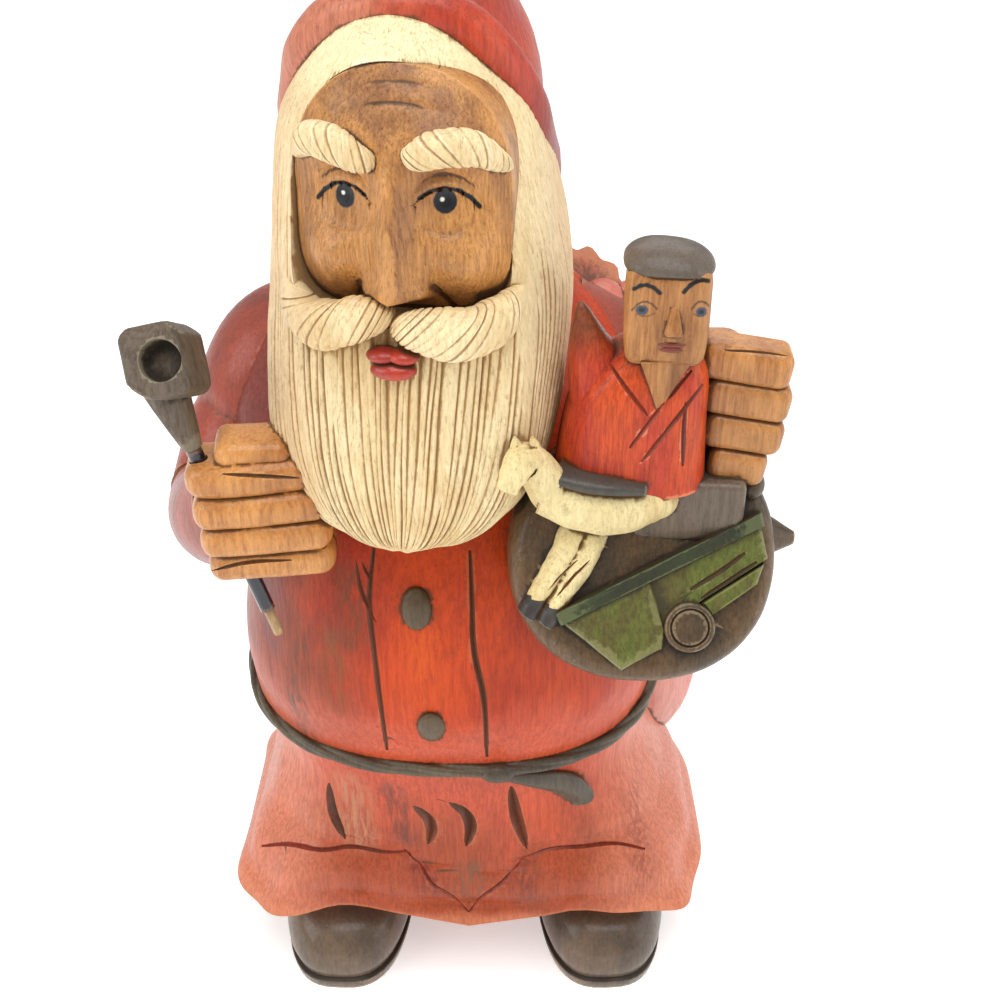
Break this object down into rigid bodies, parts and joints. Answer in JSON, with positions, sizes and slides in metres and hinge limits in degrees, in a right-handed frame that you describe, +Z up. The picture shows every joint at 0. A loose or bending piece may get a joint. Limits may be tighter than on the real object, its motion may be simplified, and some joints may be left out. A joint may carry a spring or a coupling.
{
  "type": "carved santa figure",
  "caption": "Hand-carved painted wooden santa in a red coat and cap, holding a tobacco pipe in one fist and an armful of carved toys in the other arm.",
  "frame": {"origin": "on the floor, under the middle of the whole outline", "axes": "+Z up from the boot soles to the cap, -Y the way he faces, +X to his left, where the toys are"},
  "size_m": [0.1342, 0.1342, 0.2829],
  "materials": {
    "painted_wood": "worn paint and satin varnish over carved wood",
    "pipe_wood": "grey-brown stained wood, dull",
    "stem_wood": "black gloss paint with a bare wood tip"
  },
  "bodies": {
    "root": {"carved_figure": "painted_wood", "pipe_bowl_and_shank": "pipe_wood", "pipe_stem": "stem_wood"}
  },
  "joints": []
}
